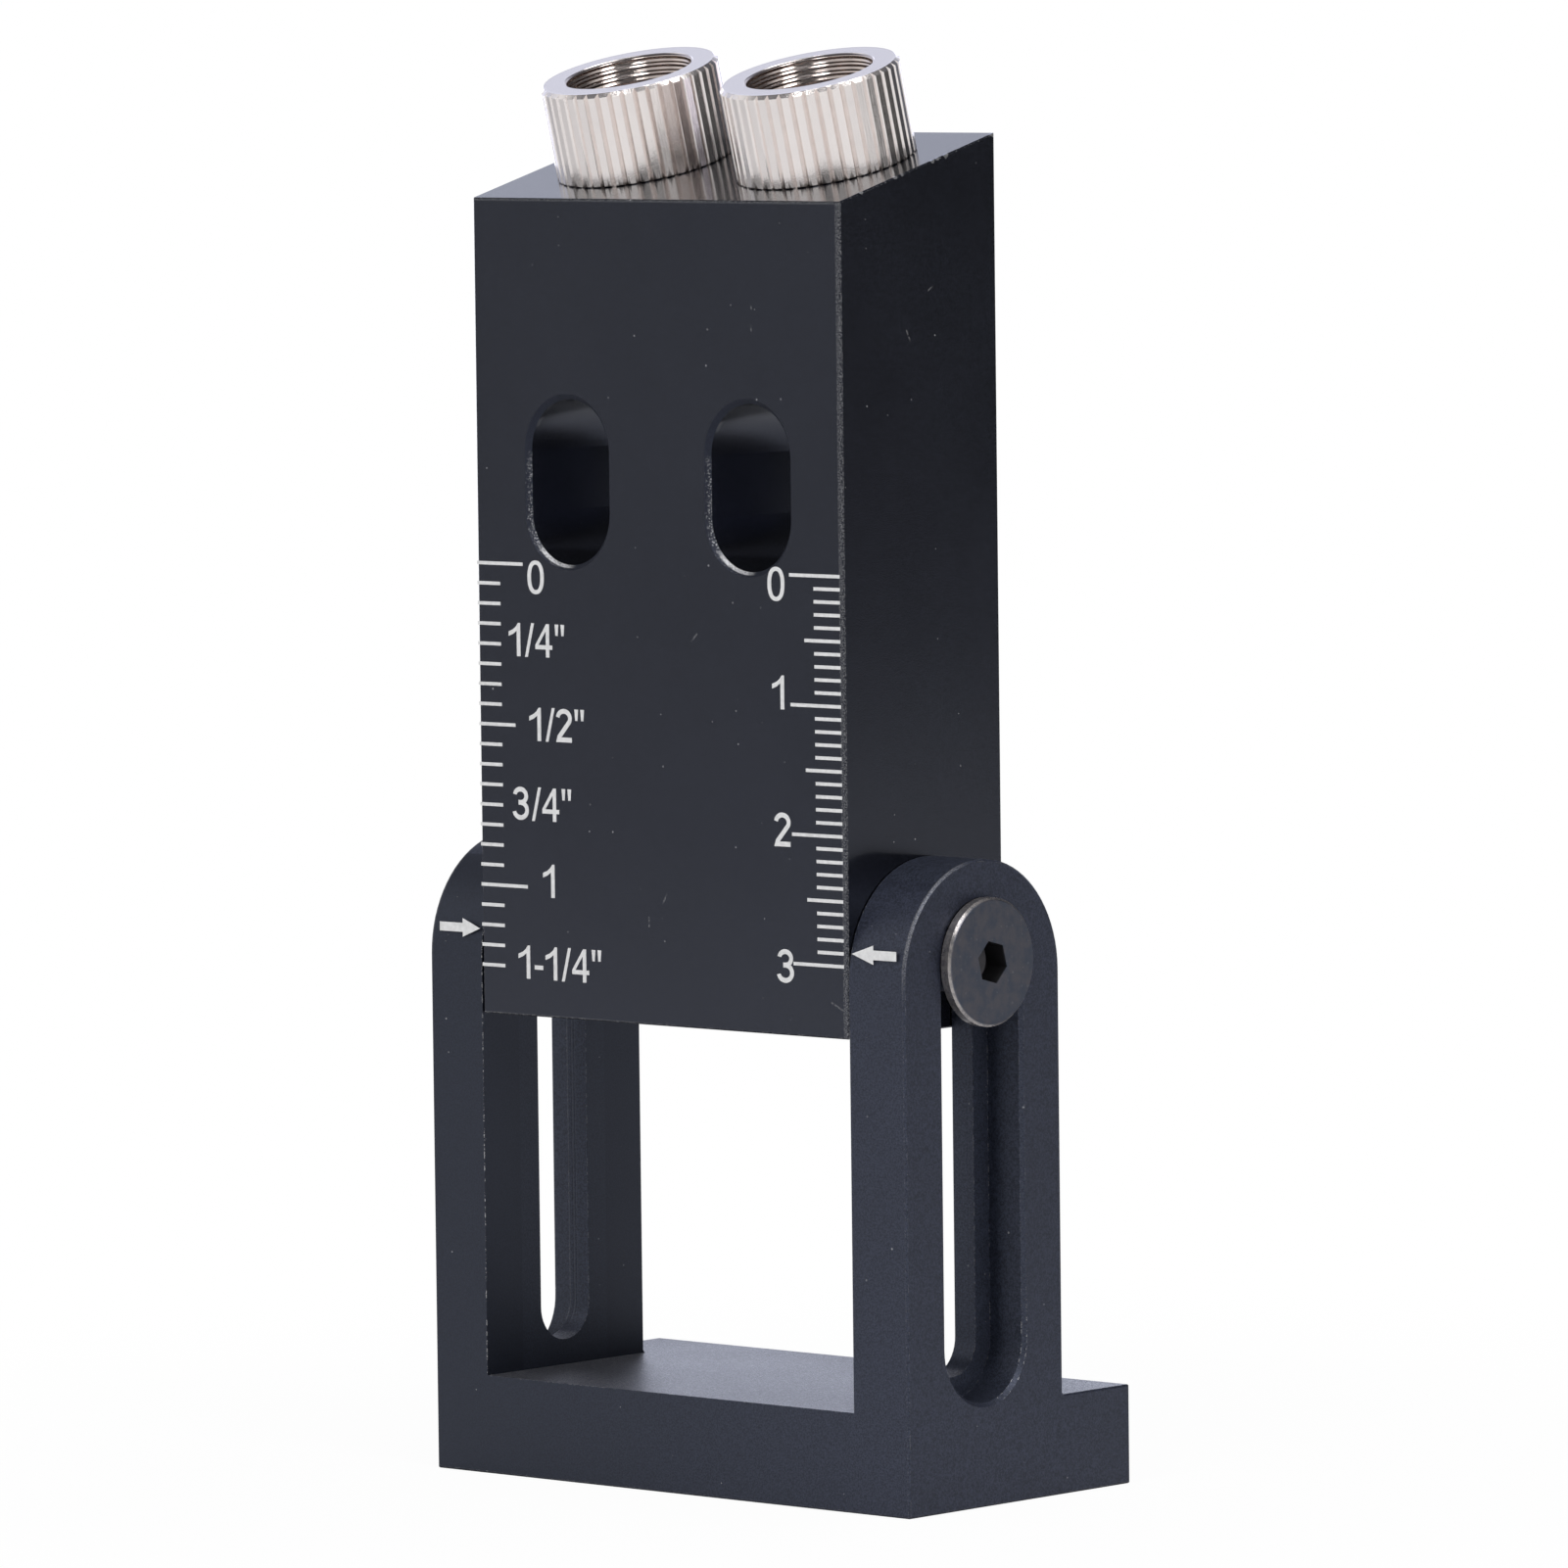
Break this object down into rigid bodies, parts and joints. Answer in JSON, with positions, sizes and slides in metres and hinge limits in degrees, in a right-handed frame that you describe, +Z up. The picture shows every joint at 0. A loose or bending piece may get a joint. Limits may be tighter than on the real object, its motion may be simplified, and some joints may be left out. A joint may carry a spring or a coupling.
{
  "type": "pocket hole jig",
  "caption": "Pocket hole jig: a guide block with slanted knurled drill bushings slides in a slotted U-shaped stop frame and is clamped by countersunk side screws.",
  "frame": {"origin": "the middle of the underside of the bar and foot, which the jig stands on", "axes": "+X across the jig towards the metric scale, +Y towards the work side, where the foot reaches out, +Z up"},
  "size_m": [0.0522, 0.0262, 0.1125],
  "materials": {
    "black_anodised_frame": "bead blasted, black anodised",
    "black_anodised_block": "bead blasted, black anodised",
    "nickel_plate": "turned and knurled, nickel plated",
    "black_oxide_steel": "black oxide",
    "white_marks": "laser marked through the anodising"
  },
  "bodies": {
    "frame": {"stop_frame": "black_anodised_frame"},
    "guide": {"guide_block": "black_anodised_block", "drill_bushing_left": "nickel_plate", "drill_bushing_right": "nickel_plate"},
    "screw_left": {"clamp_screw_left": "black_oxide_steel"},
    "screw_right": {"clamp_screw_right": "black_oxide_steel"}
  },
  "joints": [
    {"name": "guide_slide", "type": "slide", "parent": "frame", "child": "guide", "axis": [0, 0, 1], "range_m": [-0.0288, 0.00015]},
    {"name": "screw_left_turn", "type": "hinge", "parent": "guide", "child": "screw_left", "pos_m": [-0.0261, -0.004, 0.0423], "axis": [-1, 0, 0], "range_deg": [0, 360]},
    {"name": "screw_right_turn", "type": "hinge", "parent": "guide", "child": "screw_right", "pos_m": [0.0261, -0.004, 0.0423], "axis": [1, 0, 0], "range_deg": [0, 360]}
  ]
}
